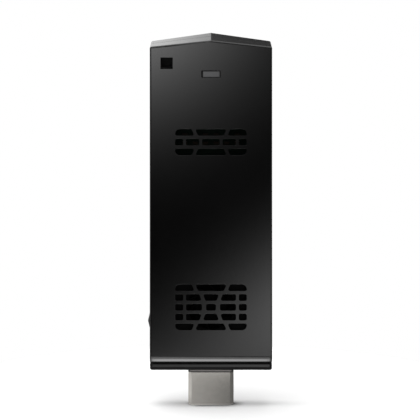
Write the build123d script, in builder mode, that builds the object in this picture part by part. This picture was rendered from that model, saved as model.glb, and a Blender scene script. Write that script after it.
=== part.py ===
# Stick computer that plugs straight into a display's HDMI socket.
# Millimetres. The plug's tip is at the origin, +Z runs up the stick, and the front faces -Y.
from build123d import *
import os

os.makedirs("parts", exist_ok=True)

# Case: a front and a rear cover, a short end band below them, and the plug below that
case_width = 37.6
side_draft = 0.45
case_depth = 12.5
cover_length = 98.74
front_rise = 2.0
rear_rise = 2.65
band_height = 2.6
plug_length = 11.5
wall = 1.2
front_round = 0.5
rear_bevel = 0.5
corner_round = 0.6
bevel_depth = 1.0
bevel_height = 1.3
bevel_round = 2.0
overrun = 1.0

# Joint between the covers: a lip on the rear cover inside the front cover's edge
parting_depth = 0.6
lip_thickness = 0.5
lip_height = 0.9
fit_gap = 0.1
seam_width = 0.2
seam_depth = 0.2

# Vents in the front: rows of slots, with slanted ribs beside the centre line
vent_half_width = 10.96
vent_corner_round = 1.5
slot_height = 2.12
slot_rib = 0.94
slot_round = 0.55
upright_rib_out = 8.55
upright_rib_in = 7.65
end_slot_away = 5.95
end_slot_toward = 5.05
end_centre_away = 4.9
end_centre_toward = 3.85
shoulder_slot_away = 3.6
shoulder_slot_toward = 2.85
shoulder_centre_away = 2.5
shoulder_centre_toward = 1.65
waist_slot = 2.79
waist_centre = 1.49
short_waist_slot = 3.58
short_waist_centre = 2.68
lower_vent_above_edge = 17.31
upper_vent_above_edge = 68.95

# Tether hole in the front's upper left corner, with a passage out of the left side
tether_width = 3.72
tether_height = 3.57
tether_from_side = 5.2
tether_below_corner = 5.09
tether_passage_depth = 4.4
tether_post_depth = 2.3
tether_wall = 0.85

# Indicator window and its light pipe
window_width = 5.9
window_height = 2.25
window_below_corner = 8.47
window_recess = 0.4
window_gap = 0.1
window_round = 0.3
pipe_flange_width = 7.6
pipe_flange_height = 3.9
pipe_flange_thickness = 0.6
pipe_stem_width = 3.0
pipe_stem_height = 1.6
led_width = 1.6
led_height = 0.8
led_thickness = 0.6
led_gap = 0.3

# Screws that close the covers from the rear
screw_radius = 0.95
screw_gap = 0.02
screw_head_radius = 1.7
screw_head_height = 1.1
screw_head_gap = 0.15
screw_drive_width = 1.0
screw_drive_depth = 0.5
screw_hole_gap = 0.2
screw_tip_gap = 0.4
screw_in_from_board_side = 2.0
lower_screw_above_board = 3.0
upper_screw_below_board = 9.5
front_boss_radius = 1.9
rear_boss_radius = 2.5
rear_boss_floor = 2.6

# End band between the covers and the plug
band_side_step = 0.03
band_corner_round = 0.8
band_edge_round = 0.6
band_groove_height = 0.7
band_groove_depth = 0.9
spigot_height = 1.6
root_gap = 0.12

# Plug: a flattened six-sided shell around an insulator with two rows of contacts
plug_width = 13.9
plug_height = 4.45
plug_narrow_width = 12.1
plug_slope_height = 1.5
plug_corner_round = 0.4
plug_tip_chamfer = 0.35
shell_thickness = 0.45
shell_rear_thickness = 0.3
root_length = 5.9
root_step = 1.1
root_width = 12.9
root_height = 3.8
root_thickness = 0.3
root_round = 0.5
insulator_recess = 0.5
insulator_gap = 0.05
mouth_width = 11.6
mouth_depth = 8.5
contact_pitch = 1.0
contact_width = 0.45
contact_thickness = 0.2
contact_recess = 1.2
contact_tail = 1.9
front_contact_count = 10
rear_contact_count = 9

# Main board
board_thickness = 1.0
board_side_gap = 1.0
board_top_gap = 0.9
board_round = 1.0

# Power button on the left side, and the switch behind it
button_length = 6.1
button_width = 2.6
button_peak = 0.7
button_above_edge = 12.1
button_gap = 0.15
button_flange_length = 8.0
button_flange_width = 4.4
button_flange_thickness = 0.4
button_flange_gap = 0.1
button_stem_length = 3.0
button_stem_width = 1.2
button_stem_gap = 0.05
switch_travel = 0.25
switch_length = 4.7
switch_depth = 2.7
switch_height = 1.7
switch_from_board_side = 0.6
plunger_length = 2.4
plunger_height = 0.9
plunger_reach = 0.65
plunger_tail = 0.5
plunger_gap = 0.05

# USB socket set into a notch of the board
usb_width = 13.1
usb_height = 5.7
usb_length = 13.2
usb_sheet = 0.3
usb_recess = 0.1
usb_above_edge = 52.4
usb_opening_gap = 0.3
usb_opening_round = 0.5
usb_notch_gap = 0.15
usb_base_length = 3.4
usb_tongue_width = 11.1
usb_tongue_thickness = 1.84
usb_tongue_offset = 0.8
usb_tongue_recess = 1.0
usb_contact_width = 1.1
usb_contact_thickness = 0.2
usb_contact_pitch = 2.3
usb_contact_length = 6.4
usb_contact_count = 4
usb_tab_length = 3.0
usb_tab_reach = 1.3

# Power socket on the board's front
power_width = 7.5
power_height = 2.55
power_length = 5.6
power_sheet = 0.25
power_slope = 1.0
power_recess = 0.3
power_above_edge = 31.4
power_opening_gap = 0.35
power_opening_round = 0.9
power_base_length = 1.6
power_tongue_width = 3.7
power_tongue_thickness = 0.6
power_tongue_recess = 0.9
power_contact_width = 0.3
power_contact_thickness = 0.12
power_contact_pitch = 0.65
power_contact_count = 5

# Memory card socket on the board's rear
card_width = 14.0
card_length = 14.5
card_height = 1.6
card_sheet = 0.2
card_side_gap = 0.15
card_above_edge = 35.9
card_opening_width = 12.2
card_opening_height = 1.5
card_opening_round = 0.5
card_base_thickness = 0.3
card_contact_width = 0.6
card_contact_thickness = 0.12
card_contact_length = 4.0
card_contact_pitch = 1.1
card_contact_count = 8

# Fan under the lower vent
fan_size = 22.6
fan_floor = 0.5
fan_lid = 0.4
fan_front_gap = 0.5
fan_wall = 1.7
fan_intake_margin = 2.4
fan_ear_radius = 1.5
fan_ear_thickness = 1.0
fan_ear_reach = 1.5
fan_ear_offset = 6.0
fan_screw_radius = 0.7
fan_screw_head_radius = 1.2
fan_screw_head_height = 0.8
fan_screw_gap = 0.08
rotor_end_gap = 0.4
hub_radius = 4.6
hub_wall = 0.5
blade_gap = 0.9
blade_thickness = 0.45
blade_lean = 38
blade_count = 11
magnet_gap = 0.02
magnet_wall = 0.6
magnet_inset = 0.2
stator_gap = 0.3
stator_inset = 0.4
stator_slot = 0.6
bearing_radius = 1.3
shaft_radius = 0.5
running_gap = 0.05
shaft_end_gap = 0.1

# Fan's lead and its connector
lead_radius = 0.35
lead_spacing = 0.8
lead_bend = 1.0
lead_from_board = 1.1
lead_exit_above_centre = 6.8
lead_clearance = 1.6
lead_length = 6.6
connector_width = 3.2
connector_length = 3.0
connector_height = 2.6

# Processor, thermal pad and finned heat spreader
processor_size = 17.0
processor_thickness = 1.0
processor_above_edge = 49.9
die_size = 9.0
die_thickness = 0.4
pad_size = 13.0
pad_thickness = 0.5
spreader_from_usb = 1.1
spreader_from_board_side = 0.2
spreader_length = 27.0
spreader_thickness = 1.0
foot_size = 3.4
spreader_screw_radius = 0.7
spreader_screw_head_radius = 1.2
spreader_screw_head_height = 0.6
fin_count = 6
fin_thickness = 0.4
fin_front_gap = 0.45
fin_pitch = 2.1

# Memory, storage and the can over the memory, on the board's rear
memory_width = 7.5
memory_length = 11.0
memory_thickness = 1.0
memory_column_pitch = 9.2
memory_row_pitch = 12.6
memory_above_edge = 58.4
can_gap = 1.2
can_head_gap = 0.55
can_sheet = 0.25
storage_width = 11.5
storage_length = 13.0
storage_thickness = 1.0
storage_above_edge = 80.4
storage_off_centre = 3.2

# Power parts near the top of the board's rear
regulator_size = 6.0
regulator_thickness = 0.85
regulator_off_centre = 8.2
coil_size = 3.2
coil_height = 1.7
coil_round = 0.6
coil_pitch = 4.8
coil_count = 4
coil_below_board_top = 4.6

# Small parts on the board's front
chip_capacitor_length = 1.6
chip_capacitor_width = 0.8
chip_capacitor_height = 0.8
chip_capacitor_pitch = 3.2
chip_capacitor_row_pitch = 2.6
chip_capacitor_columns = 6
chip_capacitor_rows = 2
resistor_length = 1.0
resistor_width = 0.5
resistor_height = 0.35
resistor_pitch = 1.8
resistor_count = 7
resistor_above_fan = 3.2
crystal_width = 3.2
crystal_length = 2.5
crystal_height = 0.8
crystal_off_centre = 9.6
crystal_above_edge = 41.4

# Radio module, its two antennas and their leads
radio_size = 12.0
radio_thickness = 0.6
radio_off_centre = 5.4
radio_below_board_top = 15.4
radio_can_margin = 0.7
radio_can_height = 1.3
radio_can_sheet = 0.2
plug_block_size = 2.2
plug_block_height = 1.5
plug_block_above_edge = 79.6
inner_plug_off_centre = 4.9
outer_plug_off_centre = 8.3
coax_radius = 0.4
coax_bend = 2.4
antenna_length = 8.0
antenna_width = 3.0
antenna_height = 2.3
antenna_sheet = 0.3
antenna_below_board_top = 2.1
left_antenna_off_centre = 6.6
right_antenna_off_centre = 9.0

# Places worked out from the sizes above
front_face = -case_depth / 2
rear_face = case_depth / 2
front_inner = front_face + wall
rear_inner = rear_face - wall
cover_edge = plug_length + band_height
front_corner = cover_edge + cover_length
ridge = front_corner + front_rise
rear_corner = ridge - rear_rise


def half_width_at(depth):
    """Half of the case's width at a depth, because its sides are drafted towards the rear."""
    rear_share = (depth - front_face) / case_depth
    return case_width / 2 - side_draft * rear_share


def corner_at(depth):
    """Height of the case's top corners at a depth."""
    rear_share = (depth - front_face) / case_depth
    return front_corner + (rear_corner - front_corner) * rear_share


board_front = -board_thickness / 2
board_rear = board_thickness / 2
board_half_width = half_width_at(0) - wall - board_side_gap
board_bottom = plug_length + root_length
board_top = rear_corner - wall - board_top_gap
screw_x = board_half_width - screw_in_from_board_side
lower_screw_z = board_bottom + lower_screw_above_board
upper_screw_z = board_top - upper_screw_below_board
screw_places = [(-screw_x, lower_screw_z), (screw_x, lower_screw_z)]
screw_places += [(-screw_x, upper_screw_z), (screw_x, upper_screw_z)]
lower_vent_z = cover_edge + lower_vent_above_edge
upper_vent_z = cover_edge + upper_vent_above_edge
window_z = front_corner - window_below_corner
tether_x = tether_from_side - case_width / 2
tether_z = front_corner - tether_below_corner
tether_floor = front_face + tether_passage_depth
button_z = cover_edge + button_above_edge
usb_z = cover_edge + usb_above_edge
usb_mouth = usb_recess - half_width_at(0)
power_z = cover_edge + power_above_edge
power_y = board_front - power_height / 2
power_mouth = power_recess - half_width_at(power_y)
card_z = cover_edge + card_above_edge
card_y = board_rear + card_height / 2
card_mouth = half_width_at(card_y) - wall - card_side_gap
fan_z = lower_vent_z
fan_lid_front = front_inner + fan_front_gap
fan_lid_rear = fan_lid_front + fan_lid
fan_floor_front = board_front - fan_floor
fan_chamber_radius = fan_size / 2 - fan_wall
fan_intake_radius = fan_chamber_radius - fan_intake_margin
blade_reach = fan_chamber_radius - blade_gap
fan_ears = [(-fan_size / 2 - fan_ear_reach, fan_z + fan_ear_offset)]
fan_ears += [(fan_size / 2 + fan_ear_reach, fan_z - fan_ear_offset)]
processor_z = cover_edge + processor_above_edge
spreader_rear = board_front - processor_thickness - die_thickness - pad_thickness
spreader_front = spreader_rear - spreader_thickness
usb_back = usb_mouth + usb_length
spreader_left = usb_back + spreader_from_usb
spreader_right = board_half_width - spreader_from_board_side
spreader_width = spreader_right - spreader_left
processor_off_centre = (spreader_left + spreader_right) / 2
foot_spread_x = (spreader_width - foot_size) / 2
foot_spread_z = (spreader_length - foot_size) / 2
spreader_feet = [(processor_off_centre - foot_spread_x, processor_z + foot_spread_z)]
spreader_feet += [(processor_off_centre + foot_spread_x, processor_z - foot_spread_z)]
memory_z = cover_edge + memory_above_edge
can_width = memory_column_pitch + memory_width + (can_gap + can_sheet) * 2
can_length = memory_row_pitch + memory_length + (can_gap + can_sheet) * 2
can_height = memory_thickness + can_head_gap + can_sheet
plug_block_z = cover_edge + plug_block_above_edge


def facing(depth):
    """Plane at a depth, seen from the front: x to the right, y up, extruded towards the front."""
    return Plane(origin=(0, depth, 0), x_dir=(1, 0, 0), z_dir=(0, -1, 0))


def block(x_span, y_span, z_span, mode=Mode.ADD):
    """Box between two places along each axis."""
    middle = [(span[0] + span[1]) / 2 for span in (x_span, y_span, z_span)]
    lengths = [abs(span[1] - span[0]) for span in (x_span, y_span, z_span)]
    with Locations(tuple(middle)):
        Box(*lengths, mode=mode)


def about(middle, length):
    """The two ends of a length around its middle."""
    return (middle - length / 2, middle + length / 2)


def case_outline(depth, inset, bottom):
    """The case's five-sided outline at a depth, pulled in by an inset."""
    half = half_width_at(depth) - inset
    corner = corner_at(depth) - inset
    with BuildSketch(facing(depth)) as outline:
        Polygon(
            (-half, bottom), (half, bottom), (half, corner), (0, ridge - inset), (-half, corner),
            align=None,
        )
    return outline.sketch


def case_slice(front, rear, inset, bottom, mode=Mode.ADD):
    """Solid between two depths that follows the case's outline at an inset."""
    loft([case_outline(front, inset, bottom), case_outline(rear, inset, bottom)], ruled=True, mode=mode)


def drafted_rectangle(face_inset, side_inset):
    """Outline across the stick that follows the case's drafted sides."""
    front = front_face + face_inset
    rear = rear_face - face_inset
    front_half = half_width_at(front) - side_inset
    rear_half = half_width_at(rear) - side_inset
    Polygon((-front_half, front), (front_half, front), (rear_half, rear), (-rear_half, rear), align=None)


def save(piece, label):
    """Label a finished piece and write it."""
    piece.part.label = label
    export_step(piece.part, f"parts/{label}.step")


# Ring that trims a bevel round the rear face
with BuildPart() as rear_trim:
    case_slice(rear_face - rear_bevel, rear_face + rear_bevel, -overrun, cover_edge - overrun)
    trim_core = [
        case_outline(rear_face - rear_bevel * 2, -rear_bevel, cover_edge - overrun * 2),
        case_outline(rear_face + rear_bevel, rear_bevel * 2, cover_edge - overrun * 2),
    ]
    loft(trim_core, ruled=True, mode=Mode.SUBTRACT)

# Block that both covers are cut from, with the bevels above the end band
with BuildPart() as case_block:
    case_slice(front_face, rear_face, 0, cover_edge)
    for end in (0, -1):
        face = case_block.faces().sort_by(Axis.Y)[end]
        foot = face.edges().sort_by(Axis.Z)[0]
        chamfer(foot, bevel_height, bevel_depth, reference=face)
    crests = [case_block.faces().sort_by(Axis.Y)[end].edges().sort_by(Axis.Z)[0] for end in (0, -1)]
    fillet(crests, bevel_round)
    deep_edges = case_block.edges().filter_by(lambda edge: edge.bounding_box().size.Y > case_depth / 2)
    fillet(deep_edges.sort_by(Axis.Z)[2:4], corner_round)
    fillet(case_block.faces().sort_by(Axis.Y)[0].edges().sort_by(Axis.Z)[1:], front_round)
    add(rear_trim.part, mode=Mode.SUBTRACT)

# Openings for the button and the ports, cut from both covers alike
opening_reach = overrun + side_draft + wall + overrun
with BuildPart() as side_openings:
    with BuildSketch(Plane.YZ.offset(-case_width / 2 - overrun)):
        with Locations((0, button_z)):
            Rectangle(button_width + button_gap * 2, button_length + button_gap * 2)
        with Locations((0, usb_z)):
            RectangleRounded(
                usb_height + usb_opening_gap * 2, usb_width + usb_opening_gap * 2, usb_opening_round
            )
        with Locations((power_y, power_z)):
            RectangleRounded(
                power_height + power_opening_gap * 2, power_width + power_opening_gap * 2,
                power_opening_round,
            )
    extrude(amount=opening_reach)
    with BuildSketch(Plane.YZ.offset(case_width / 2 + overrun)):
        with Locations((card_y, card_z)):
            RectangleRounded(card_opening_height, card_opening_width, card_opening_round)
    extrude(amount=-opening_reach)

# Groove around the case where the covers meet
with BuildPart() as seam:
    case_slice(parting_depth - seam_width / 2, parting_depth + seam_width / 2, -overrun, cover_edge)
    case_slice(
        parting_depth - seam_width, parting_depth + seam_width, seam_depth, cover_edge - overrun,
        mode=Mode.SUBTRACT,
    )


def vent_slot(row_z, away, far, near_away, near_toward):
    """Two mirrored slots of a row; their near edges slant, and away is +1 for a row's upper side."""
    outer = row_z + slot_height / 2 * away
    inner = row_z - slot_height / 2 * away
    for hand in (-1, 1):
        Polygon(
            (hand * near_away, outer), (hand * far, outer),
            (hand * far, inner), (hand * near_toward, inner),
            align=None,
        )


def vent_centre(row_z, away, half_away, half_toward):
    """Slot across the centre line, wider on the side away from the vent's middle."""
    outer = row_z + slot_height / 2 * away
    inner = row_z - slot_height / 2 * away
    Polygon(
        (-half_away, outer), (half_away, outer), (half_toward, inner), (-half_toward, inner), align=None
    )


def vent_end_row(row_z, away):
    vent_slot(row_z, away, vent_half_width, end_slot_away, end_slot_toward)
    vent_centre(row_z, away, end_centre_away, end_centre_toward)


def vent_shoulder_row(row_z, away):
    vent_slot(row_z, away, vent_half_width, upright_rib_out, upright_rib_out)
    vent_slot(row_z, away, upright_rib_in, shoulder_slot_away, shoulder_slot_toward)
    vent_centre(row_z, away, shoulder_centre_away, shoulder_centre_toward)


def vent_waist_row(row_z, slot_end, centre_half):
    vent_slot(row_z, 1, vent_half_width, upright_rib_out, upright_rib_out)
    vent_slot(row_z, 1, upright_rib_in, slot_end, slot_end)
    vent_centre(row_z, 1, centre_half, centre_half)


row_pitch = slot_height + slot_rib
upper_vent_height = row_pitch * 2 + slot_height
lower_vent_height = row_pitch * 4 + slot_height

# Both vents as one cutter; the rounded rectangles round each vent's outer corners
with BuildPart() as vents:
    with BuildSketch(facing(front_inner + wall / 2)) as slots:
        for away in (-1, 1):
            vent_end_row(upper_vent_z + row_pitch * away, away)
            vent_end_row(lower_vent_z + row_pitch * 2 * away, away)
            vent_shoulder_row(lower_vent_z + row_pitch * away, away)
        vent_waist_row(upper_vent_z, short_waist_slot, short_waist_centre)
        vent_waist_row(lower_vent_z, waist_slot, waist_centre)
        fillet(slots.vertices(), slot_round)
        with Locations((0, upper_vent_z)):
            upper_field = RectangleRounded(
                vent_half_width * 2, upper_vent_height, vent_corner_round, mode=Mode.PRIVATE
            )
        with Locations((0, lower_vent_z)):
            lower_field = RectangleRounded(
                vent_half_width * 2, lower_vent_height, vent_corner_round, mode=Mode.PRIVATE
            )
        add([upper_field, lower_field], mode=Mode.INTERSECT)
    extrude(amount=wall + wall)

# Front cover: case front with vents, window, tether corner and screw bosses
with BuildPart() as front_cover:
    add(case_block.part)
    case_slice(front_inner, rear_inner, wall, cover_edge - overrun, mode=Mode.SUBTRACT)
    case_slice(parting_depth, rear_face + overrun, -overrun, cover_edge - overrun, mode=Mode.SUBTRACT)
    case_slice(
        parting_depth - lip_height - fit_gap, parting_depth + overrun, wall - lip_thickness - fit_gap,
        cover_edge - overrun, mode=Mode.SUBTRACT,
    )
    tether_in = tether_x + tether_width / 2 + tether_wall
    tether_side = half_width_at(tether_floor) - wall / 2
    tether_tall = tether_height + tether_wall * 2
    block(
        (-tether_side, tether_in), (front_inner - wall / 2, tether_floor + tether_wall),
        about(tether_z, tether_tall),
    )
    with BuildSketch(facing(board_front)):
        with Locations(*screw_places):
            Circle(front_boss_radius)
    extrude(amount=board_front - front_inner + wall / 2)
    with BuildSketch(facing(board_front)):
        with Locations(*screw_places):
            Circle(screw_radius + screw_gap)
    extrude(amount=board_front - front_inner, mode=Mode.SUBTRACT)
    with BuildSketch(facing(tether_floor)):
        with Locations((tether_x, tether_z)):
            Rectangle(tether_width, tether_height)
    extrude(amount=tether_passage_depth + overrun, mode=Mode.SUBTRACT)
    block(
        (-case_width, tether_x), (front_face + tether_post_depth, tether_floor),
        about(tether_z, tether_height), mode=Mode.SUBTRACT,
    )
    with BuildSketch(facing(front_inner + wall)):
        with Locations((0, window_z)):
            RectangleRounded(window_width, window_height, window_round)
    extrude(amount=wall * 3, mode=Mode.SUBTRACT)
    add(vents.part, mode=Mode.SUBTRACT)
    add(side_openings.part, mode=Mode.SUBTRACT)
    add(seam.part, mode=Mode.SUBTRACT)

save(front_cover, "front_cover")

# Rear cover: case rear with the lip and the screw wells
with BuildPart() as rear_cover:
    add(case_block.part)
    case_slice(front_face - overrun, parting_depth, -overrun, cover_edge - overrun, mode=Mode.SUBTRACT)
    case_slice(parting_depth - lip_height, parting_depth + lip_height, wall - lip_thickness, cover_edge)
    case_slice(front_inner, rear_inner, wall, cover_edge - overrun, mode=Mode.SUBTRACT)
    with BuildSketch(facing(rear_inner + wall / 2)):
        with Locations(*screw_places):
            Circle(rear_boss_radius)
    extrude(amount=rear_inner + wall / 2 - board_rear)
    with BuildSketch(facing(rear_face + overrun)):
        with Locations(*screw_places):
            Circle(screw_head_radius + screw_head_gap)
    extrude(amount=rear_face + overrun - board_rear - rear_boss_floor, mode=Mode.SUBTRACT)
    with BuildSketch(facing(rear_face)):
        with Locations(*screw_places):
            Circle(screw_radius + screw_hole_gap)
    extrude(amount=case_depth, mode=Mode.SUBTRACT)
    add(side_openings.part, mode=Mode.SUBTRACT)
    add(seam.part, mode=Mode.SUBTRACT)

save(rear_cover, "rear_cover")

# Cover screws, from wells in the rear cover into the front cover's bosses
screw_seat = board_rear + rear_boss_floor
screw_tip = front_inner + screw_tip_gap
with BuildPart() as cover_screws:
    with BuildSketch(facing(screw_seat + screw_head_height)):
        with Locations(*screw_places):
            Circle(screw_head_radius)
    extrude(amount=screw_head_height)
    with BuildSketch(facing(screw_seat)):
        with Locations(*screw_places):
            Circle(screw_radius)
    extrude(amount=screw_seat - screw_tip)
    with BuildSketch(facing(screw_seat + screw_head_height)):
        with Locations(*screw_places):
            Rectangle(screw_drive_width * 2, screw_drive_width / 2)
            Rectangle(screw_drive_width / 2, screw_drive_width * 2)
    extrude(amount=screw_drive_depth, mode=Mode.SUBTRACT)

save(cover_screws, "cover_screws")

# Light pipe: a window set back in the front, a flange behind the wall and a stem to the lamp
led_front = board_front - led_thickness
window_face = front_face + window_recess
with BuildPart() as light_pipe:
    with BuildSketch(facing(front_inner)):
        with Locations((0, window_z)):
            RectangleRounded(
                window_width - window_gap * 2, window_height - window_gap * 2, window_round - window_gap
            )
    extrude(amount=front_inner - window_face)
    flange_rear = front_inner + pipe_flange_thickness
    block(about(0, pipe_flange_width), (front_inner, flange_rear), about(window_z, pipe_flange_height))
    block(about(0, pipe_stem_width), (flange_rear, led_front - led_gap), about(window_z, pipe_stem_height))

save(light_pipe, "light_pipe")

with BuildPart() as power_led:
    block(about(0, led_width), (led_front, board_front), about(window_z, led_height))

save(power_led, "power_led")

# Power button: a peaked cap, a flange behind the wall and a stem to the switch
button_face = half_width_at(0)
flange_out = half_width_at(button_flange_width / 2) - wall - button_flange_gap
flange_in = flange_out - button_flange_thickness
switch_rear_x = switch_from_board_side + switch_depth - board_half_width
switch_face_x = switch_from_board_side - board_half_width
plunger_tip_x = switch_face_x - plunger_reach
stem_y = board_front - switch_height / 2
with BuildPart() as power_button:
    with BuildSketch(Plane.XZ.offset(-button_width / 2)):
        Polygon(
            (-flange_in, button_z - button_length / 2), (-button_face, button_z - button_length / 2),
            (-button_face - button_peak, button_z), (-button_face, button_z + button_length / 2),
            (-flange_in, button_z + button_length / 2),
            align=None,
        )
    extrude(amount=button_width)
    block((-flange_out, -flange_in), about(0, button_flange_width), about(button_z, button_flange_length))
    block(
        (-flange_in, plunger_tip_x - button_stem_gap), about(stem_y, button_stem_width),
        about(button_z, button_stem_length),
    )

save(power_button, "power_button")

with BuildPart() as switch_plunger:
    block(
        (plunger_tip_x, switch_face_x + plunger_tail), about(stem_y, plunger_height),
        about(button_z, plunger_length),
    )

save(switch_plunger, "switch_plunger")

with BuildPart() as switch_body:
    block(
        (switch_face_x, switch_rear_x), (board_front - switch_height, board_front),
        about(button_z, switch_length),
    )
    block(
        (switch_face_x, switch_face_x + plunger_tail + switch_travel + plunger_gap * 2),
        about(stem_y, plunger_height + plunger_gap * 2), about(button_z, plunger_length + plunger_gap * 2),
        mode=Mode.SUBTRACT,
    )

save(switch_body, "switch_body")

# End band: a glossy block around the plug's root, with a spigot inside the covers
with BuildPart() as end_band:
    with BuildSketch(Plane.XY.offset(plug_length)) as band_outline:
        drafted_rectangle(bevel_depth, band_side_step)
        fillet(band_outline.vertices(), band_corner_round)
    extrude(amount=band_height - band_groove_height)
    fillet(end_band.faces().sort_by(Axis.Z)[0].edges(), band_edge_round)
    with BuildSketch(Plane.XY.offset(cover_edge - band_groove_height)):
        drafted_rectangle(bevel_depth + band_groove_depth, band_side_step + band_groove_depth)
    extrude(amount=band_groove_height)
    with BuildSketch(Plane.XY.offset(cover_edge)):
        drafted_rectangle(wall + fit_gap, wall + fit_gap)
    extrude(amount=spigot_height)
    with BuildSketch(Plane.XY.offset(plug_length)):
        RectangleRounded(root_width + root_gap * 2, root_height + root_gap * 2, root_round + root_gap)
    extrude(amount=band_height + spigot_height, mode=Mode.SUBTRACT)

save(end_band, "end_band")


def plug_section(inset):
    """The plug shell's section: full width behind, sloping in to a narrower front."""
    half = plug_width / 2 - inset
    narrow_half = plug_narrow_width / 2 - inset
    rear = plug_height / 2 - inset
    shoulder = plug_slope_height - plug_height / 2
    Polygon(
        (-half, rear), (half, rear), (half, shoulder), (narrow_half, -rear), (-narrow_half, -rear),
        (-half, shoulder),
        align=None,
    )


def root_section(inset):
    """The plug root's section."""
    RectangleRounded(root_width - inset * 2, root_height - inset * 2, root_round - inset)


root_bottom = plug_length - root_step
with BuildPart() as plug_shell:
    with BuildSketch() as shell_outline:
        plug_section(0)
        fillet(shell_outline.vertices(), plug_corner_round)
    extrude(amount=root_bottom)
    chamfer(plug_shell.faces().sort_by(Axis.Z)[0].edges(), plug_tip_chamfer)
    with BuildSketch() as mouth_outline:
        plug_section(shell_thickness)
    extrude(amount=root_bottom - shell_rear_thickness, mode=Mode.SUBTRACT)
    with BuildSketch():
        root_section(root_thickness)
    extrude(amount=root_bottom, mode=Mode.SUBTRACT)

save(plug_shell, "plug_shell")

with BuildPart() as plug_root:
    with BuildSketch(Plane.XY.offset(root_bottom)):
        root_section(0)
        RectangleRounded(
            root_width - root_thickness * 2, root_height - root_thickness * 2,
            root_round - root_thickness, mode=Mode.SUBTRACT,
        )
    extrude(amount=root_step + root_length - fit_gap)

save(plug_root, "plug_root")


def contact_row(count, inner_face):
    """A row of straight contacts whose face towards the board's middle is at inner_face."""
    for place in range(count):
        x = (place - (count - 1) / 2) * contact_pitch
        outer_face = inner_face + (contact_thickness if inner_face > 0 else -contact_thickness)
        lengthwise = (contact_recess, board_bottom + contact_tail)
        block(about(x, contact_width), (inner_face, outer_face), lengthwise)


with BuildPart() as plug_contacts:
    contact_row(front_contact_count, board_front)
    contact_row(rear_contact_count, board_rear)

save(plug_contacts, "plug_contacts")

with BuildPart() as plug_insulator:
    with BuildSketch(Plane.XY.offset(insulator_recess)):
        plug_section(shell_thickness + insulator_gap)
    extrude(amount=root_bottom - shell_rear_thickness - insulator_gap - insulator_recess)
    with BuildSketch(Plane.XY.offset(insulator_recess)):
        root_section(root_thickness + insulator_gap)
    extrude(amount=board_bottom - insulator_recess)
    block(about(0, mouth_width), (board_front, board_rear), (0, mouth_depth), mode=Mode.SUBTRACT)
    add(plug_contacts.part, mode=Mode.SUBTRACT)

save(plug_insulator, "plug_insulator")

# USB socket: a shell in a notch of the board, open at the left side
usb_base_front = usb_back - usb_sheet - usb_base_length
usb_contact_start = usb_base_front - usb_contact_length
with BuildPart() as usb_shell:
    block((usb_mouth, usb_back), about(0, usb_height), about(usb_z, usb_width))
    block(
        (usb_mouth, usb_back - usb_sheet), about(0, usb_height - usb_sheet * 2),
        about(usb_z, usb_width - usb_sheet * 2), mode=Mode.SUBTRACT,
    )
    block(
        (usb_back - usb_tab_length * 2, usb_back - usb_tab_length), (board_front - usb_sheet, board_front),
        about(usb_z, usb_width + usb_tab_reach * 2),
    )
    block(
        (usb_mouth, usb_back - usb_sheet), about(0, usb_height - usb_sheet * 2),
        about(usb_z, usb_width - usb_sheet * 2), mode=Mode.SUBTRACT,
    )

save(usb_shell, "usb_shell")

usb_contact_face = usb_tongue_offset - usb_tongue_thickness / 2
with BuildPart() as usb_contacts:
    for place in range(usb_contact_count):
        across = (place - (usb_contact_count - 1) / 2) * usb_contact_pitch
        block(
            (usb_contact_start, usb_base_front),
            (usb_contact_face - usb_contact_thickness, usb_contact_face),
            about(usb_z + across, usb_contact_width),
        )

save(usb_contacts, "usb_contacts")

with BuildPart() as usb_tongue:
    block(
        (usb_base_front, usb_back - usb_sheet), about(0, usb_height - usb_sheet * 2),
        about(usb_z, usb_width - usb_sheet * 2),
    )
    block(
        (usb_mouth + usb_tongue_recess, usb_base_front), about(usb_tongue_offset, usb_tongue_thickness),
        about(usb_z, usb_tongue_width),
    )

save(usb_tongue, "usb_tongue")

# Power socket on the board's front, open at the left side
power_back = power_mouth + power_length


def power_section(inset):
    """The power socket's section: full width on the board, narrower away from it."""
    half = power_width / 2 - inset
    narrow_half = half - power_slope
    rear = power_y + power_height / 2 - inset
    front = power_y - power_height / 2 + inset
    Polygon(
        (rear, power_z - half), (rear, power_z + half), (power_y, power_z + half),
        (front, power_z + narrow_half), (front, power_z - narrow_half), (power_y, power_z - half),
        align=None,
    )


with BuildPart() as power_shell:
    with BuildSketch(Plane.YZ.offset(power_mouth)):
        power_section(0)
    extrude(amount=power_length)
    with BuildSketch(Plane.YZ.offset(power_mouth)):
        power_section(power_sheet)
    extrude(amount=power_length - power_sheet, mode=Mode.SUBTRACT)

save(power_shell, "power_shell")

power_base_front = power_back - power_sheet - power_base_length
power_contact_front = power_y - power_tongue_thickness / 2 - power_contact_thickness
with BuildPart() as power_contacts:
    for place in range(power_contact_count):
        across = (place - (power_contact_count - 1) / 2) * power_contact_pitch
        block(
            (power_mouth + power_tongue_recess, power_base_front),
            (power_contact_front, power_contact_front + power_contact_thickness),
            about(power_z + across, power_contact_width),
        )

save(power_contacts, "power_contacts")

with BuildPart() as power_tongue:
    with BuildSketch(Plane.YZ.offset(power_base_front)):
        power_section(power_sheet)
    extrude(amount=power_base_length)
    block(
        (power_mouth + power_tongue_recess, power_base_front), about(power_y, power_tongue_thickness),
        about(power_z, power_tongue_width),
    )

save(power_tongue, "power_tongue")

# Memory card socket on the board's rear, open at the right side
card_back = card_mouth - card_length
card_rear = board_rear + card_height
with BuildPart() as card_shell:
    block((card_back, card_mouth), (board_rear, card_rear), about(card_z, card_width))
    block(
        (card_back + card_sheet, card_mouth), (board_rear, card_rear - card_sheet),
        about(card_z, card_width - card_sheet * 2), mode=Mode.SUBTRACT,
    )

save(card_shell, "card_shell")

card_base_rear = board_rear + card_base_thickness
with BuildPart() as card_base:
    block(
        (card_back + card_sheet, card_mouth), (board_rear, card_base_rear),
        about(card_z, card_width - card_sheet * 2),
    )

save(card_base, "card_base")

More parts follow.
